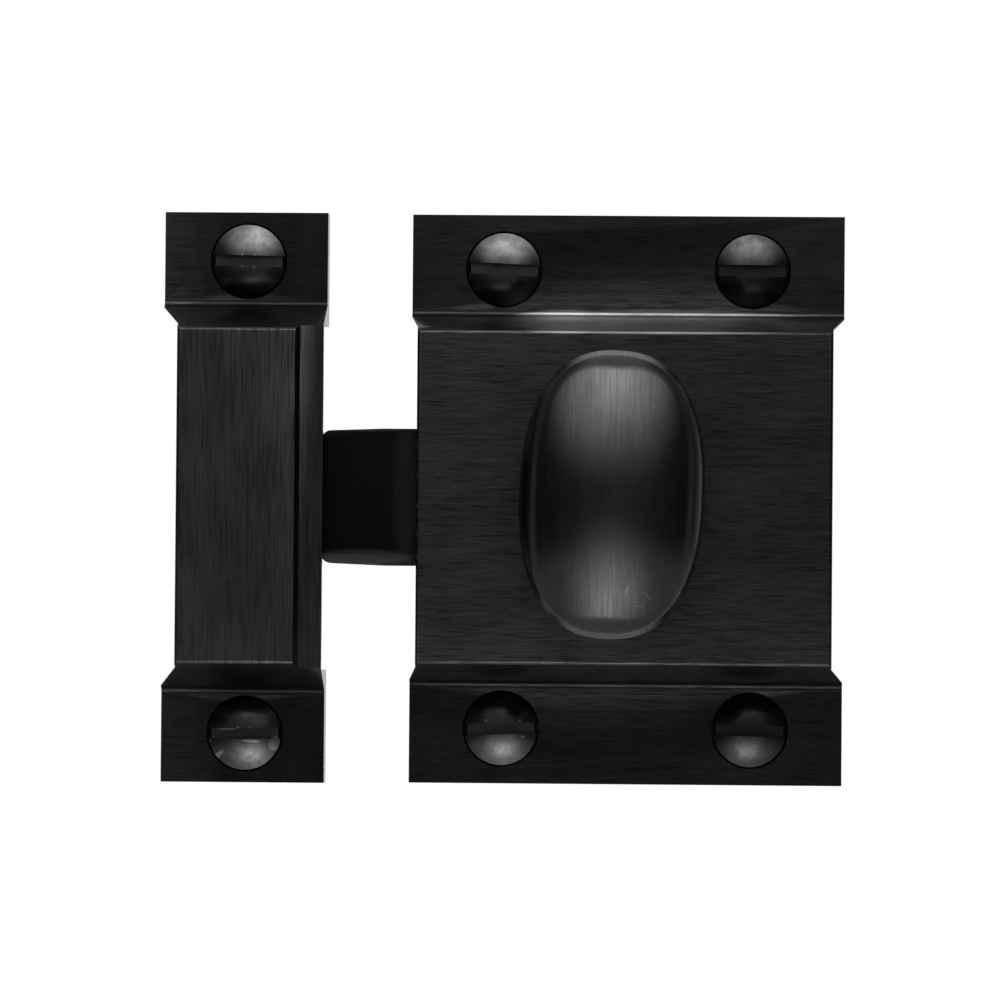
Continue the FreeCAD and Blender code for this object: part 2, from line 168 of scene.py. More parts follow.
# Studio: the floor, what the metal mirrors on each side, the two soft boxes and the camera
FLOOR_R = 600
FLOOR_Z = -240
FLOOR_GLOW = 0.3
ROOM_LIGHT = 0.35
FRONT_SHINE = 0.225
LEVEL_SHINE = 0.06
UPRIGHT_SHINE = 0.3
BELOW_SHINE = 0.6
SIDE_SHINE = 0.4
WHITE_CARD = 1.3
LIT_PLACE = (-3, -20, 0)
SOFTBOX_DISTANCE = 190
CAMERA_AIM = (-11.33, -2.75, -0.1)
CAMERA_DISTANCE = 500
CAMERA_AZIMUTH = 1.5
CAMERA_ELEVATION = -1.3
CAMERA_ROLL = 0.45
CAMERA_LENS = 201.4


def mm(*values):
    """Millimetres to metres: one value as a number, three as a place."""
    if len(values) == 1:
        return values[0] * 0.001
    return Vector(values) * 0.001


def hex_colour(code):
    """An sRGB hex colour as linear red, green, blue and alpha."""
    def linear(value):
        return value / 12.92 if value <= 0.04045 else ((value + 0.055) / 1.055) ** 2.4
    return tuple(linear(int(code[i:i + 2], 16) / 255) for i in (1, 3, 5)) + (1.0,)


# Materials

def add(tree, kind, inputs, **settings):
    """A node of the given kind with its settings, its inputs set or linked; returns its outputs."""
    node = tree.nodes.new("ShaderNode" + kind)
    for name, value in settings.items():
        setattr(node, name, value)
    for name, value in inputs.items():
        if isinstance(value, bpy.types.NodeSocket):
            tree.links.new(value, node.inputs[name])
        else:
            node.inputs[name].default_value = value
    return node.outputs


def new_material(name, **values):
    """A material with one shader, whose even values are set on its own sockets."""
    material = bpy.data.materials.new(name)
    material.use_nodes = True
    shader = material.node_tree.nodes["Principled BSDF"]
    for socket, value in values.items():
        shader.inputs[socket.replace("_", " ")].default_value = value
    return material, material.node_tree, shader


def new_metal(name):
    """A metal, with the places on its piece that its patterns are laid out by."""
    material, tree, shader = new_material(name, Metallic=1.0)
    place = add(tree, "TexCoord", {})["Object"]
    return material, tree, shader, place


def grain(tree, place, size, detail=2.0):
    """Noise whose patches are as long as the given millimetres along X, Y and Z.

    The noise seldom leaves 0.3 to 0.7, so that stretch is spread over 0 to 1. Real brush lines are about
    0.05 mm wide; they are drawn 0.11 to 0.14 mm wide, which is as fine as shows.
    """
    spread = add(tree, "Mapping", {"Vector": place, "Scale": [1 / mm(length) for length in size]})["Vector"]
    noise = add(tree, "TexNoise", {"Vector": spread, "Scale": 1.0, "Detail": detail, "Roughness": 0.6})["Fac"]
    return add(tree, "MapRange", {"Value": noise, "From Min": 0.3, "From Max": 0.7})["Result"]


def marks(tree, place, spots, edge=0.5):
    """One in the middle of each mark, fading to nothing over the given share of it."""
    mask = 0.0
    for x, z, half_x, half_z, turn in spots:
        local = add(tree, "Mapping", {
            "Vector": place, "Location": mm(x, MARK_Y, z), "Rotation": (0, math.radians(turn), 0),
            "Scale": mm(half_x, MARK_REACH, half_z)}, vector_type="TEXTURE")["Vector"]
        inside = add(tree, "TexGradient", {"Vector": local}, gradient_type="SPHERICAL")["Fac"]
        fade = add(tree, "MapRange", {"Value": inside, "From Min": 0.0, "From Max": edge})["Result"]
        mask = add(tree, "Math", {0: mask, 1: fade}, operation="MAXIMUM")["Value"]
    return mask


def laid_on(tree, pale, patterns):
    """A paleness with each pattern laid on it at its strength; a strength below zero darkens."""
    for pattern, strength in patterns:
        pale = add(tree, "Math", {0: pattern, 1: strength, 2: pale}, operation="MULTIPLY_ADD")["Value"]
    return pale


def blackened(tree, shader, pale, lines, rough, relief):
    """The blackened skin of brass, with its brush lines standing in it.

    It is nearly black at a paleness of 0 and a worn grey at 1, and passes 1 only where a painted reflection
    is laid on it.
    """
    pale = add(tree, "Math", {0: pale, 1: 0.0}, operation="MAXIMUM")["Value"]
    colour = add(tree, "Mix", {0: pale, 6: hex_colour("#0d0d0d"), 7: hex_colour("#727272")},
                 data_type="RGBA", clamp_factor=False)[2]
    polish = add(tree, "MapRange", {"Value": lines, "To Min": rough + 0.05, "To Max": rough - 0.05})["Result"]
    bump = add(tree, "Bump", {"Height": lines, "Strength": relief, "Distance": mm(0.02)})["Normal"]
    for value, socket in ((colour, "Base Color"), (polish, "Roughness"), (bump, "Normal")):
        tree.links.new(value, shader.inputs[socket])


def bare(tree, shader, pattern, dark, light, smooth, rough):
    """Bare metal whose tone and polish both follow one fine pattern."""
    tone = add(tree, "Mix", {0: pattern, 6: hex_colour(dark), 7: hex_colour(light)}, data_type="RGBA")[2]
    polish = add(tree, "MapRange", {"Value": pattern, "To Min": smooth, "To Max": rough})["Result"]
    tree.links.new(tone, shader.inputs["Base Color"])
    tree.links.new(polish, shader.inputs["Roughness"])


def casting_shade(tree, y, raised, flange, face):
    """How pale a casting's lines are on its flanges and its raised face, with everything behind its front
    painted paler as painted light.
    """
    # Painted light: the back and sides, behind the front, are painted paler.
    behind = add(tree, "MapRange", {"Value": y, "From Min": mm(-2.55), "From Max": mm(-2.35)})["Result"]
    shade = add(tree, "Mix", {0: raised, 2: flange, 3: face}, data_type="FLOAT")[0]
    return laid_on(tree, shade, [(behind, 0.2)])


def case_finish():
    """Blackened cast brass, brushed along its length: fine pale lines in a near-black skin.

    The raised face is paler than the flanges and at its left. It is painted paler low down and behind its
    front as painted light, the upper slope carries a painted reflection beside the knob, and the slopes carry
    dark patches.
    """
    material, tree, shader, place = new_metal("blackened_brass_brushed_along")
    x, y, z = add(tree, "SeparateXYZ", {"Vector": place}).values()
    lines = grain(tree, place, (2.2, 30, 0.11))
    bands = grain(tree, place, (7, 30, 0.4), 3.0)
    cloud = grain(tree, place, (7, 30, 4), 3.0)
    # Painted reflection on the upper slope: a broad patch and its brighter core.
    rub_wear_and_painted_reflection = marks(tree, place, UPPER_SLOPE_PAINTED_REFLECTIONS, 0.6)
    painted_reflection_core = marks(tree, place, UPPER_SLOPE_PAINTED_REFLECTION_CORE, 0.6)
    scratched = marks(tree, place, CASE_SCRATCHES)
    # Dark patches on the slopes.
    dark_patches = marks(tree, place, CASE_DARK_PATCHES)
    chipped = marks(tree, place, CASE_CHIPS)
    raised = add(tree, "MapRange", {"Value": y, "From Min": mm(-3.2), "From Max": mm(-9.3)})["Result"]
    left = add(tree, "MapRange", {"Value": x, "From Min": mm(12), "From Max": mm(-19)})["Result"]
    # Painted light: the raised face is painted paler low down, where the soft box below lights it.
    face = add(tree, "MapRange", {"Value": z, "From Min": mm(14), "From Max": mm(-14),
                                  "To Min": 0.09, "To Max": 0.17})["Result"]
    face = laid_on(tree, face, [(left, 0.04)])
    shade = casting_shade(tree, y, raised, 0.06, face)
    brushed = laid_on(tree, 0.0, [(lines, 1.35), (bands, 0.35), (cloud, 0.4)])
    pale = add(tree, "Math", {0: brushed, 1: shade}, operation="MULTIPLY")["Value"]
    # The upper slope's painted reflection is laid on here, with the scratches, dark patches and chips.
    pale = laid_on(tree, pale, [(rub_wear_and_painted_reflection, 1.1), (painted_reflection_core, 1.1), (scratched, 0.15), (dark_patches, -0.9),
                                (chipped, 0.45)])
    blackened(tree, shader, pale, lines, 0.32, 0.12)
    return material


def strike_finish():
    """Blackened cast brass with its raised face brushed upright and its flanges along.

    Its lines are softer than the case's, its left side is a little paler, and its raised face is painted
    paler low down as painted light from below.
    """
    material, tree, shader, place = new_metal("blackened_brass_brushed_upright")
    x, y, z = add(tree, "SeparateXYZ", {"Vector": place}).values()
    level = grain(tree, place, (3.2, 30, 0.14))
    upright = grain(tree, place, (0.12, 30, 4))
    cloud = grain(tree, place, (4, 30, 8), 3.0)
    cast = marks(tree, place, STRIKE_CAST_MARKS)
    raised = add(tree, "MapRange", {"Value": y, "From Min": mm(-3.2), "From Max": mm(-9.3)})["Result"]
    left = add(tree, "MapRange", {"Value": x, "From Min": mm(-36), "From Max": mm(-41)})["Result"]
    # Painted light: the raised face is painted paler low down, where the soft box below lights it.
    face = add(tree, "MapRange", {"Value": z, "From Min": mm(14), "From Max": mm(-14),
                                  "To Min": 0.14, "To Max": 0.26})["Result"]
    lines = add(tree, "Mix", {0: raised, 2: level, 3: upright}, data_type="FLOAT")[0]
    shade = casting_shade(tree, y, raised, 0.055, face)
    shade = laid_on(tree, shade, [(left, 0.1)])
    brushed = laid_on(tree, 0.08, [(lines, 1.0), (cloud, 0.4)])
    pale = add(tree, "Math", {0: brushed, 1: shade}, operation="MULTIPLY")["Value"]
    pale = laid_on(tree, pale, [(cast, -0.2)])
    blackened(tree, shader, pale, lines, 0.32, 0.12)
    return material


def knob_finish():
    """Blackened brass brushed upright with very fine grit: smoother than the case, with soft highlights."""
    material, tree, shader, place = new_metal("blackened_brass_knob")
    lines = grain(tree, place, (0.11, 60, 4))
    cloud = grain(tree, place, (3, 60, 4), 3.0)
    scuffed = marks(tree, place, KNOB_SCUFFS)
    pale = laid_on(tree, 0.122, [(lines, 0.06), (cloud, 0.05), (scuffed, 0.2)])
    blackened(tree, shader, pale, lines, 0.26, 0.03)
    return material


def bolt_finish():
    """Cast brass left matt and blackened: a dull even black that the case rubs smooth at its mouth, with
    painted highlights along its upper and lower edges.
    """
    material, tree, shader, place = new_metal("matt_black_cast_brass")
    sand = grain(tree, place, (0.35, 0.35, 0.35), 3.0)
    rub_wear_and_painted_reflection = marks(tree, place, BOLT_RUBS)
    # Painted highlights along the bolt's lower and upper edges.
    painted_edge_highlights = marks(tree, place, BOLT_EDGE_PAINTED_HIGHLIGHTS, 0.3)
    pale = laid_on(tree, -0.008, [(sand, 0.02), (painted_edge_highlights, 0.09), (rub_wear_and_painted_reflection, 0.03)])
    blackened(tree, shader, pale, sand, 0.5, 0.08)
    return material


def screw_finish():
    """Turned brass with a thin black skin, polished on the domes, with bright brass in the chips.

    The half of each dome towards the raised face is painted darker as painted shade, the left-hand screws are
    paler than the right, and the skin stays darkest down in the slots and countersinks.
    """
    material, tree, shader, place = new_metal("blackened_brass_screw")
    x, y, z = add(tree, "SeparateXYZ", {"Vector": place}).values()
    stain = grain(tree, place, (0.7, 0.7, 0.7), 3.0)
    chipped = marks(tree, place, SCREW_CHIPS, 0.3)
    # Painted shade: the half of each dome towards the raised face is darkened; the strike's screws sit
    # further out, so their heights are taken 0.6 mm less.
    height = add(tree, "Math", {0: z}, operation="ABSOLUTE")["Value"]
    on_strike = add(tree, "Math", {0: x, 1: mm(-28)}, operation="LESS_THAN")["Value"]
    height = laid_on(tree, height, [(on_strike, mm(-0.6))])
    painted_inner_shade = add(tree, "MapRange", {"Value": height, "From Min": mm(19.2), "From Max": mm(20.1),
                                   "To Min": 0.3, "To Max": 1.0})["Result"]
    paler_to_left = add(tree, "MapRange", {"Value": x, "From Min": mm(5), "From Max": mm(-5),
                                  "To Min": 0.55, "To Max": 1.0})["Result"]
    proud = add(tree, "MapRange", {"Value": y, "From Min": mm(-2.5), "From Max": mm(-3.1),
                                   "To Min": 0.6, "To Max": 1.0})["Result"]
    pale = laid_on(tree, 0.24, [(stain, 0.16)])
    for share in (painted_inner_shade, paler_to_left, proud):
        pale = add(tree, "Math", {0: pale, 1: share}, operation="MULTIPLY")["Value"]
    pale = laid_on(tree, pale, [(chipped, 0.7)])
    pale = add(tree, "Math", {0: pale, 1: 1.0}, operation="MINIMUM")["Value"]
    blackened(tree, shader, pale, stain, 0.26, 0.02)
    return material


def sheet_finish():
    """Rolled brass sheet, blackened: flat, dull and faintly cloudy."""
    material, tree, shader, place = new_metal("blackened_rolled_brass_sheet")
    cloud = grain(tree, place, (6, 6, 6), 5.0)
    pale = laid_on(tree, 0.3, [(cloud, 0.2)])
    blackened(tree, shader, pale, cloud, 0.42, 0.05)
    return material


def turned_finish():
    """Bare brass turned on a lathe: warm yellow with fine rings round its axis, drawn 0.2 mm wide to show."""
    material, tree, shader, place = new_metal("turned_brass")
    rings = grain(tree, place, (40, 0.2, 40))
    bare(tree, shader, rings, "#a8894f", "#c4a467", 0.24, 0.36)
    return material


def spring_finish():
    """Drawn spring steel, blued by its heat treatment: smooth, dark grey and evenly bright."""
    material, tree, shader, place = new_metal("drawn_spring_steel")
    stain = grain(tree, place, (1.5, 1.5, 1.5), 3.0)
    bare(tree, shader, stain, "#55585c", "#7b7d80", 0.24, 0.4)
    return material


# Pieces

def stored(work, name):
    """The worked mesh put into storage under a name; the working copy is given up."""
    mesh = bpy.data.meshes.new(name)
    work.to_mesh(mesh)
    work.free()
    return mesh


def placed(name, mesh):
    """An object in the scene that shows the mesh."""
    item = bpy.data.objects.new(name, mesh)
    bpy.context.collection.objects.link(item)
    return item


def to_object(name, work, material, body, node):
    """Makes the worked mesh an object that rides on its body and stands for its node."""
    piece = placed(name, stored(work, name))
    piece.data.materials.append(material)
    for face in piece.data.polygons:
        face.use_smooth = True
    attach(piece, body)
    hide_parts(node)
    return piece


def finish_edges(piece, width, limit=30):
    """Small rounds on the edges sharper than the limit in degrees, so that they catch the light."""
    bevel = piece.modifiers.new("edge_round", "BEVEL")
    bevel.width = mm(width)
    bevel.segments = 2
    bevel.limit_method = "ANGLE"
    bevel.angle_limit = math.radians(limit)
    bevel.harden_normals = True
    bevel.miter_outer = "MITER_ARC"
    return piece


def cut_away(work, middle, size, turn=0):
    """The worked mesh less one block, turned in degrees about the upright."""
    place = Matrix.Translation(mm(*middle)) @ Matrix.Rotation(math.radians(turn), 4, "Z")
    block = bmesh.new()
    bmesh.ops.create_cube(block, size=1, matrix=place @ Matrix.Diagonal((*mm(*size), 1)))
    whole = placed("whole", stored(work, "whole"))
    cutter = placed("cutter", stored(block, "cutter"))
    cut = whole.modifiers.new("cut", "BOOLEAN")
    cut.object = cutter
    cut.solver = "EXACT"
    bpy.context.view_layer.update()
    done = bpy.data.meshes.new_from_object(whole.evaluated_get(bpy.context.evaluated_depsgraph_get()))
    left_over = [whole.data, cutter.data]
    for item in (whole, cutter):
        bpy.data.objects.remove(item)
    work = bmesh.new()
    work.from_mesh(done)
    for mesh in (done, *left_over):
        bpy.data.meshes.remove(mesh)
    return work


def from_node(node, name, material, body, width, trims=()):
    """A merged copy of one of the frame's solids, less its trims, with small rounds on its sharp edges."""
    work = bmesh.new()
    work.from_mesh(frame["nodes"][node].data)
    bmesh.ops.remove_doubles(work, verts=work.verts, dist=mm(MERGE))
    for middle, size, turn in trims:
        work = cut_away(work, middle, size, turn)
    piece = to_object(name, work, material, body, node)
    piece.data.set_sharp_from_angle(angle=math.radians(CASTING_CREASE))
    return finish_edges(piece, width) if width else piece


def superellipse(angle, half_w, half_h, power):
    """The point at an angle on an outline between an ellipse and a rounded rectangle."""
    c, s = math.cos(angle), math.sin(angle)
    x = half_w * math.copysign(abs(c) ** (2 / power), c)
    z = half_h * math.copysign(abs(s) ** (2 / power), s)
    return x, z


def crown_depth(x, z):
    """How far forward the knob's crowned face is at a place."""
    across = CROWN_R_UP - (CROWN_R_ACROSS - math.sqrt(CROWN_R_ACROSS ** 2 - x * x))
    return KNOB_FRONT + CROWN_R_UP - math.sqrt(across * across - z * z)


def between(first, second, share):
    """The row a share of the way from the first row to the second."""
    return [a + (b - a) * share for a, b in zip(first, second)]


def rim_share(angle):
    """How far along the rim band, from its back to its front, the crown meets it at an angle."""
    low, high = 0.0, 1.0
    for _ in range(RIM_HALVINGS):
        middle = (low + high) / 2
        depth, *outline = between(KNOB_OUTLINES[-1], RIM_FRONT, middle)
        if depth > crown_depth(*superellipse(angle, *outline)):
            low = middle
        else:
            high = middle
    return low


def outline_points(depth, half_w, half_h, power):
    """One closed outline of the knob, with a point for each of its sides."""
    outline = [superellipse(angle, half_w, half_h, power) for angle in KNOB_ANGLES]
    return [(x, depth, z) for x, z in outline]


def smoothed(rows, steps=3):
    """The rows with more set between them, on a smooth curve that passes through them all."""
    made = []
    for number in range(len(rows) - 1):
        before, after = max(0, number - 1), min(len(rows) - 1, number + 2)
        around = rows[before], rows[number], rows[number + 1], rows[after]
        for step in range(steps):
            t = step / steps
            made.append([b + t / 2 * (c - a + t * (2 * a - 5 * b + 4 * c - d + t * (3 * b - a - 3 * c + d)))
                         for a, b, c, d in zip(*around)])
    return made + [rows[-1]]


def crown_edge():
    """The closed line where the rim band meets the crowned face."""
    points = []
    for angle in KNOB_ANGLES:
        depth, *outline = between(KNOB_OUTLINES[-1], RIM_FRONT, rim_share(angle))
        x, z = superellipse(angle, *outline)
        points.append((x, depth, z))
    return points


def crown_ring(edge, share):
    """The crown's edge drawn in to a share of its size and set on the crowned face."""
    return [(x * share, crown_depth(x * share, z * share), z * share) for x, depth, z in edge]


def edges_between(work, verts):
    """The edges that have both their ends among the given vertices."""
    members = set(verts)
    return [edge for edge in work.edges if edge.verts[0] in members and edge.verts[1] in members]


def drawn_through(work, rings):
    """A tube drawn ring by ring; returns the vertices of each of its rings."""
    side = work.verts.layers.int.new("side")
    drawn = [bmesh.ops.create_circle(work, segments=len(rings[0]), radius=mm(1))["verts"]]
    for number, vert in enumerate(drawn[0]):
        vert[side] = number
        vert.co = mm(*rings[0][number])
    for points in rings[1:]:
        made = bmesh.ops.extrude_edge_only(work, edges=edges_between(work, drawn[-1]))["geom"]
        drawn.append([item for item in made if isinstance(item, bmesh.types.BMVert)])
        for vert in drawn[-1]:
            vert.co = mm(*points[vert[side]])
    return drawn


def knob():
    """The oval turn, drawn ring by ring from its bore over the neck and rim to the top of the crown."""
    bore = [outline_points(depth, KNOB_BORE_R, KNOB_BORE_R, 2.0) for depth in (KNOB_BORE_END, KNOB_BACK)]
    body = [outline_points(*row) for row in smoothed(KNOB_OUTLINES)]
    edge = crown_edge()
    crown = [crown_ring(edge, share) for share in CROWN_SHARES]
    work = bmesh.new()
    drawn = drawn_through(work, bore + body + [edge] + crown)
    bmesh.ops.pointmerge(work, verts=drawn[-1], merge_co=mm(0, KNOB_FRONT, 0))
    bmesh.ops.contextual_create(work, geom=drawn[0])
    crown_line = edges_between(work, drawn[-1 - len(crown)])
    bmesh.ops.bevel(work, geom=crown_line, offset=mm(CROWN_ROUND), offset_type="OFFSET", segments=5,
                    profile=0.5, affect="EDGES", material=-1)
    lean = Matrix.Rotation(math.radians(KNOB_LEAN), 3, "Y")
    bmesh.ops.rotate(work, verts=work.verts, cent=(0, 0, 0), matrix=lean)
    bmesh.ops.translate(work, verts=work.verts, vec=mm(KNOB_X, 0, 0))
    bmesh.ops.recalc_face_normals(work, faces=work.faces)
    piece = to_object("knob_head", work, MATERIALS["knob"], "knob", "knob")
    piece.data.set_sharp_from_angle(angle=math.radians(KNOB_CREASE))
    return piece


def spun(work, points, steps=64):
    """A profile of (radius, depth) points in millimetres, turned once round the Y axis."""
    verts = [work.verts.new(mm(radius, depth, 0)) for radius, depth in points]
    edges = [work.edges.new(pair) for pair in zip(verts, verts[1:])]
    bmesh.ops.spin(work, geom=verts + edges, cent=(0, 0, 0), axis=(0, 1, 0), angle=2 * math.pi, steps=steps,
                   use_merge=True, use_normal_flip=False, use_duplicate=False)
    bmesh.ops.remove_doubles(work, verts=work.verts, dist=mm(MERGE / 2))
    bmesh.ops.recalc_face_normals(work, faces=work.faces)


def thread_root(depth):
    """The radius of the screw's core at a depth: even along the thread, then down to the point."""
    left = min(1.0, max(0.0, (SCREW_LENGTH - depth) / POINT_LENGTH))
    return POINT_R + (THREAD_ROOT_R - POINT_R) * left


def dome_fall(radius):
    """How far the dome has fallen at a radius: slowly in its middle, then evenly down its flank."""
    share = min(1.0, radius / DOME_FLANK)
    return DOME_FLANK * (share ** 3 - share ** 4 / 2) + max(0.0, radius - DOME_FLANK)


def screw_blank():
    """One screw before its slot is cut: dome, countersunk head, plain shank, core and point."""
    profile = []
    for step in range(DOME_STEPS + 1):
        radius = HEAD_R * step / DOME_STEPS
        profile.append((radius, DOME * (dome_fall(radius) / dome_fall(HEAD_R) - 1)))
    profile += [(HEAD_R, HEAD_LAND), (SHANK_R, HEAD_DEPTH), (SHANK_R, THREAD_START)]
    profile += [(THREAD_ROOT_R, THREAD_START + SHANK_TAPER), (THREAD_ROOT_R, SCREW_LENGTH - POINT_LENGTH)]
    profile += [(POINT_R, SCREW_LENGTH - POINT_TIP), (0.0, SCREW_LENGTH)]
    work = bmesh.new()
    spun(work, profile)
    return work


def thread():
    """The sharp ridge that winds round the core, rising out of the shank and dying away at the point."""
    start = THREAD_START + THREAD_LEAD
    steps = int((SCREW_LENGTH - THREAD_LEAD - start) / THREAD_PITCH * THREAD_STEPS)
    foot = THREAD_ROOT_R - THREAD_SUNK
    corners = [(foot, start - THREAD_HALF), (THREAD_CREST_R, start), (foot, start + THREAD_HALF)]
    work = bmesh.new()
    verts = [work.verts.new((radius, depth, 0)) for radius, depth in corners]
    edges = [work.edges.new((verts[i], verts[(i + 1) % 3])) for i in range(3)]
    bmesh.ops.spin(work, geom=verts + edges, cent=(0, 0, 0), axis=(0, 1, 0),
                   dvec=(0, THREAD_PITCH / THREAD_STEPS, 0), angle=2 * math.pi * steps / THREAD_STEPS,
                   steps=steps, use_merge=False, use_normal_flip=False, use_duplicate=False)
    for vert in work.verts:
        depth = vert.co.y
        radius = math.hypot(vert.co.x, vert.co.z)
        root = thread_root(depth)
        rise = min(1.0, (depth - start + THREAD_HALF) / THREAD_PITCH)
        rise *= min(1.0, (SCREW_LENGTH - depth) / POINT_LENGTH + THREAD_AT_POINT)
        crest = root + (THREAD_CREST_R - THREAD_ROOT_R) * max(0.0, rise)
        wanted = root - THREAD_SUNK if radius < THREAD_ROOT_R else crest
        vert.co.x *= wanted / radius
        vert.co.z *= wanted / radius
    bmesh.ops.holes_fill(work, edges=[edge for edge in work.edges if edge.is_boundary])
    bmesh.ops.scale(work, verts=work.verts, vec=mm(1, 1, 1))
    bmesh.ops.recalc_face_normals(work, faces=work.faces)
    return work


def mounting_screws(name, places, node):
    """A set of wood screws, each turned to where the screwdriver left its slot."""
    slot_middle = (0, SLOT_DEPTH - DOME - SLOT_CUT / 2, 0)
    slotted = cut_away(screw_blank(), slot_middle, (SLOT_LENGTH, SLOT_CUT, SLOT_WIDTH))
    ridge = stored(thread(), "ridge")
    slotted.from_mesh(ridge)
    pattern = stored(slotted, "one_screw")
    work = bmesh.new()
    for x, z, turn in places:
        start = len(work.verts)
        work.from_mesh(pattern)
        work.verts.ensure_lookup_table()
        fresh = work.verts[start:]
        turned = Matrix.Rotation(math.radians(turn), 3, "Y")
        bmesh.ops.rotate(work, verts=fresh, cent=(0, 0, 0), matrix=turned)
        bmesh.ops.translate(work, verts=fresh, vec=mm(x, PLATE_FRONT, z))
    for mesh in (ridge, pattern):
        bpy.data.meshes.remove(mesh)
    piece = to_object(name, work, MATERIALS["screw"], "case", node)
    piece.data.set_sharp_from_angle(angle=math.radians(SCREW_CREASE))
    return finish_edges(piece, SCREW_BEVEL, SCREW_BEVEL_FROM)


def spring(name, z, node):
    """A compression spring of round wire, drawn at one length; in the latch it closes up as the bolt draws
    back.
    """
    length = SPRING_RIGHT - SPRING_LEFT
    steps = SPRING_TURNS * SPRING_STEPS
    start = Matrix.Translation(mm(SPRING_LEFT, SPRING_Y, z + SPRING_R)) @ Matrix.Rotation(math.pi / 2, 4, "X")
    work = bmesh.new()
    bmesh.ops.create_circle(work, segments=SPRING_SIDES, radius=mm(SPRING_WIRE / 2), matrix=start)
    bmesh.ops.spin(work, geom=work.verts[:] + work.edges[:], cent=mm(SPRING_LEFT, SPRING_Y, z),
                   axis=(1, 0, 0), dvec=mm(length / steps, 0, 0), angle=2 * math.pi * SPRING_TURNS,
                   steps=steps, use_merge=False, use_normal_flip=False, use_duplicate=False)
    bmesh.ops.holes_fill(work, edges=[edge for edge in work.edges if edge.is_boundary])
    bmesh.ops.recalc_face_normals(work, faces=work.faces)
    piece = to_object(name, work, MATERIALS["spring"], "case", node)
    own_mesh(piece)
    return piece


# Studio

def floor():
    """A plain pale round floor well below the latch, with a glow of its own that the eye sees double."""
    work = bmesh.new()
    bmesh.ops.create_circle(work, cap_ends=True, segments=96, radius=mm(FLOOR_R),
                            matrix=Matrix.Translation(mm(0, 0, FLOOR_Z)))
    disc = placed("floor", stored(work, "floor"))
    material, tree, shader = new_material("pale_floor", Roughness=0.9)
    shader.inputs["Base Color"].default_value = hex_colour("#e8e8e8")
    shader.inputs["Emission Color"].default_value = (1, 1, 1, 1)
    path = add(tree, "LightPath", {})
    glow = add(tree, "Math", {0: path["Is Glossy Ray"], 1: path["Is Transmission Ray"]},
               operation="MAXIMUM")["Value"]
    glow = add(tree, "Math", {0: path["Is Camera Ray"], 1: glow}, operation="MAXIMUM")["Value"]
    glow = add(tree, "Math", {0: path["Is Camera Ray"], 1: glow}, operation="ADD")["Value"]
    glow = add(tree, "Math", {0: glow, 1: FLOOR_GLOW}, operation="MULTIPLY")["Value"]
    tree.links.new(glow, shader.inputs["Emission Strength"])
    disc.data.materials.append(material)


def world():
    """White behind the latch for the eye; for the metal, a dim front with pale cards all round it.

    The x, y and z of a direction run from -1 to 1, and each card begins at one value and is full at the next.
    """
    room = bpy.data.worlds.new("studio")
    room.use_nodes = True
    bpy.context.scene.world = room
    tree = room.node_tree
    path = add(tree, "LightPath", {})
    direction = add(tree, "TexCoord", {})["Generated"]
    x, y, z = add(tree, "SeparateXYZ", {"Vector": direction}).values()
    upright = add(tree, "Math", {0: z}, operation="ABSOLUTE")["Value"]
    across = add(tree, "Math", {0: x}, operation="ABSOLUTE")["Value"]
    shine = add(tree, "MapRange", {"Value": upright, "From Min": 0.15, "From Max": 0.5,
                                   "To Min": LEVEL_SHINE, "To Max": UPRIGHT_SHINE})["Result"]
    below = add(tree, "MapRange", {"Value": z, "From Min": -0.1, "From Max": -0.3,
                                   "To Min": 0.0, "To Max": BELOW_SHINE})["Result"]
    sides = add(tree, "MapRange", {"Value": across, "From Min": 0.88, "From Max": 0.98,
                                   "To Min": 0.0, "To Max": SIDE_SHINE})["Result"]
    behind = add(tree, "MapRange", {"Value": y, "From Min": 0.6, "From Max": 0.85,
                                    "To Min": 0.0, "To Max": WHITE_CARD})["Result"]
    from_right = add(tree, "MapRange", {"Value": x, "From Min": -0.45, "From Max": -0.1})["Result"]
    behind = add(tree, "Math", {0: behind, 1: from_right}, operation="MULTIPLY")["Value"]
    above = add(tree, "MapRange", {"Value": z, "From Min": 0.3, "From Max": 0.7,
                                   "To Min": 0.0, "To Max": WHITE_CARD})["Result"]
    narrow = add(tree, "MapRange", {"Value": across, "From Min": 0.2, "From Max": 0.5,
                                    "To Min": 1.0, "To Max": 0.1})["Result"]
    above = add(tree, "Math", {0: above, 1: narrow}, operation="MULTIPLY")["Value"]
    for card in (below, sides, behind, above):
        shine = add(tree, "Math", {0: shine, 1: card}, operation="MAXIMUM")["Value"]
    away = add(tree, "MapRange", {"Value": y, "From Min": -0.33, "From Max": -0.15})["Result"]
    shine = add(tree, "Math", {0: shine, 1: away}, operation="MULTIPLY")["Value"]
    front = add(tree, "MapRange", {"Value": y, "From Min": -0.6, "From Max": -0.97,
                                   "To Min": LEVEL_SHINE, "To Max": FRONT_SHINE})["Result"]
    shine = add(tree, "Math", {0: shine, 1: front}, operation="MAXIMUM")["Value"]
    mirrored = add(tree, "Math", {0: path["Is Glossy Ray"], 1: path["Is Transmission Ray"]},
                   operation="MAXIMUM")["Value"]
    strength = add(tree, "Mix", {0: mirrored, 2: ROOM_LIGHT, 3: shine}, data_type="FLOAT")[0]
    strength = add(tree, "Mix", {0: path["Is Camera Ray"], 2: strength, 3: 1.0}, data_type="FLOAT")[0]
    tree.links.new(strength, tree.nodes["Background"].inputs["Strength"])
    tree.nodes["Background"].inputs["Color"].default_value = (1, 1, 1, 1)


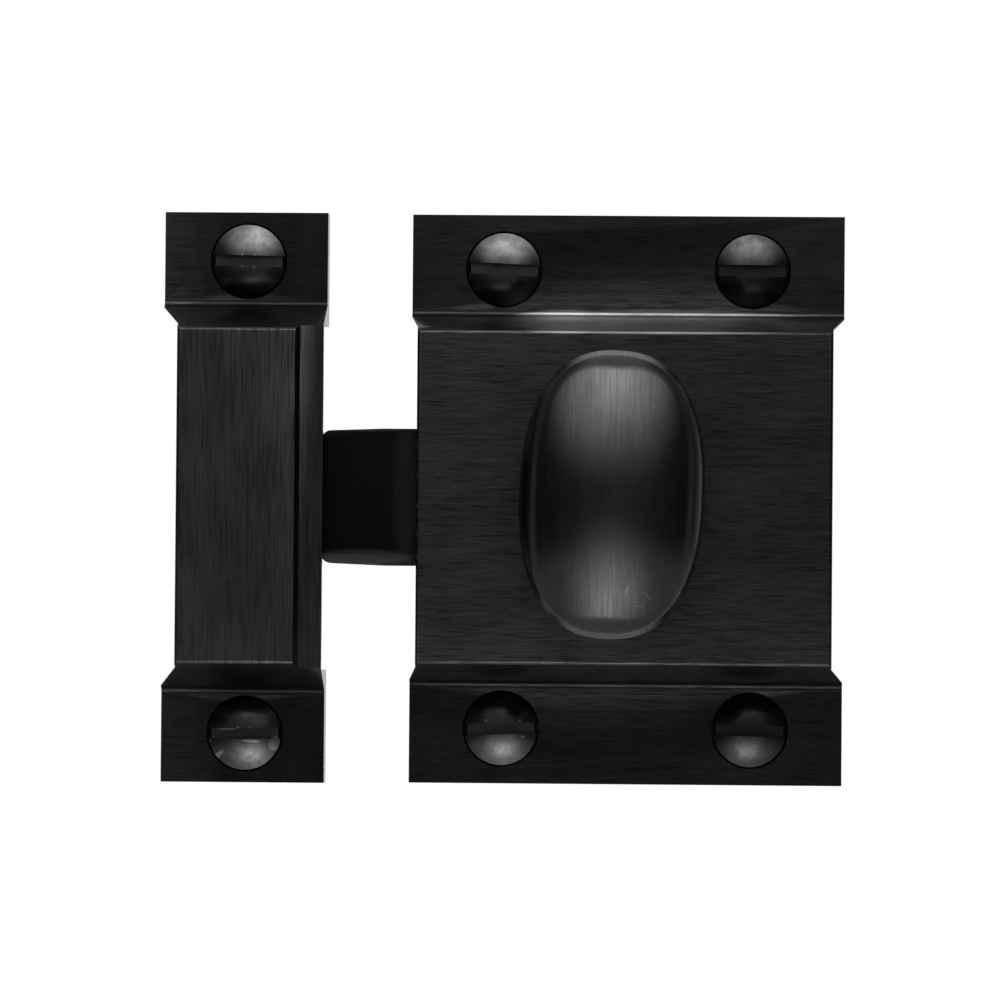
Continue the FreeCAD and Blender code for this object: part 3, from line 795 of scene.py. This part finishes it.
def softbox(name, elevation, bright_height, width, height, radiance):
    """A soft box turned to the latch, brightest on the line that is its bright height's share of the way up.

    The light fades to nothing along the sides and away from that line.
    """
    light = bpy.data.lights.new(name, "AREA")
    light.shape = "RECTANGLE"
    light.size = mm(width)
    light.size_y = mm(height)
    light.energy = radiance * math.pi * mm(width) * mm(height)
    light.use_nodes = True
    tree = light.node_tree
    spot = add(tree, "NewGeometry", {})["Parametric"]
    spot = add(tree, "Mapping", {"Vector": spot, "Location": (-1, -bright_height, 0),
                                 "Scale": (2, 1, 0)})["Vector"]
    fade = add(tree, "TexGradient", {"Vector": spot}, gradient_type="QUADRATIC_SPHERE")["Fac"]
    tree.links.new(fade, tree.nodes["Emission"].inputs["Strength"])
    angle = math.radians(elevation)
    out = Vector((0, -math.cos(angle), math.sin(angle)))
    lamp = placed(name, light)
    lamp.location = mm(*LIT_PLACE) + out * mm(SOFTBOX_DISTANCE)
    lamp.rotation_mode = "QUATERNION"
    lamp.rotation_quaternion = (-out).to_track_quat("-Z", "Y")
    lamp.visible_camera = False


def camera():
    """Nearly square on, a little from the right and from below, and turned a hair."""
    azimuth, elevation = math.radians(CAMERA_AZIMUTH), math.radians(CAMERA_ELEVATION)
    level = math.cos(elevation)
    out = Vector((math.sin(azimuth) * level, -math.cos(azimuth) * level, math.sin(elevation)))
    roll = Quaternion((0, 0, 1), math.radians(CAMERA_ROLL))
    lens = bpy.data.cameras.new("camera")
    lens.lens = CAMERA_LENS
    lens.sensor_width = 36
    lens.clip_start = 0.01
    eye = placed("camera", lens)
    eye.location = mm(*CAMERA_AIM) + out * mm(CAMERA_DISTANCE)
    eye.rotation_mode = "QUATERNION"
    eye.rotation_quaternion = (-out).to_track_quat("-Z", "Y") @ roll
    bpy.context.scene.camera = eye
    bpy.context.scene.view_settings.view_transform = "Standard"


MATERIALS = {
    "case": case_finish(),
    "strike": strike_finish(),
    "knob": knob_finish(),
    "bolt": bolt_finish(),
    "screw": screw_finish(),
    "sheet": sheet_finish(),
    "turned": turned_finish(),
    "spring": spring_finish(),
}

camera()
world()
floor()
softbox("softbox_above", 39, 0.85, 520, 210, 10)
softbox("softbox_below", -34, 0.12, 300, 170, 7.3)

from_node("latch_case", "case_casting", MATERIALS["case"], "case", CASTING_BEVEL)
from_node("strike", "strike_casting", MATERIALS["strike"], "case", CASTING_BEVEL,
          STRIKE_TRIMS)
from_node("bolt", "bolt_bar", MATERIALS["bolt"], "bolt", CASTING_BEVEL)
from_node("back_plate", "back_sheet", MATERIALS["sheet"], "case", SMALL_BEVEL)
from_node("back_plate_pins", "back_sheet_pins", MATERIALS["screw"], "case", 0)
from_node("spindle", "knob_spindle", MATERIALS["turned"], "knob", SMALL_BEVEL)
from_node("cam", "bolt_cam", MATERIALS["turned"], "knob", SMALL_BEVEL)
from_node("cam_clip", "spindle_clip", MATERIALS["spring"], "knob", 0)
knob()
mounting_screws("case_screws", CASE_SCREWS, "case_mounting_screws")
mounting_screws("strike_screws", STRIKE_SCREWS, "strike_mounting_screws")
spring("upper_bolt_spring", SPRING_Z, "upper_spring")
spring("lower_bolt_spring", -SPRING_Z, "lower_spring")
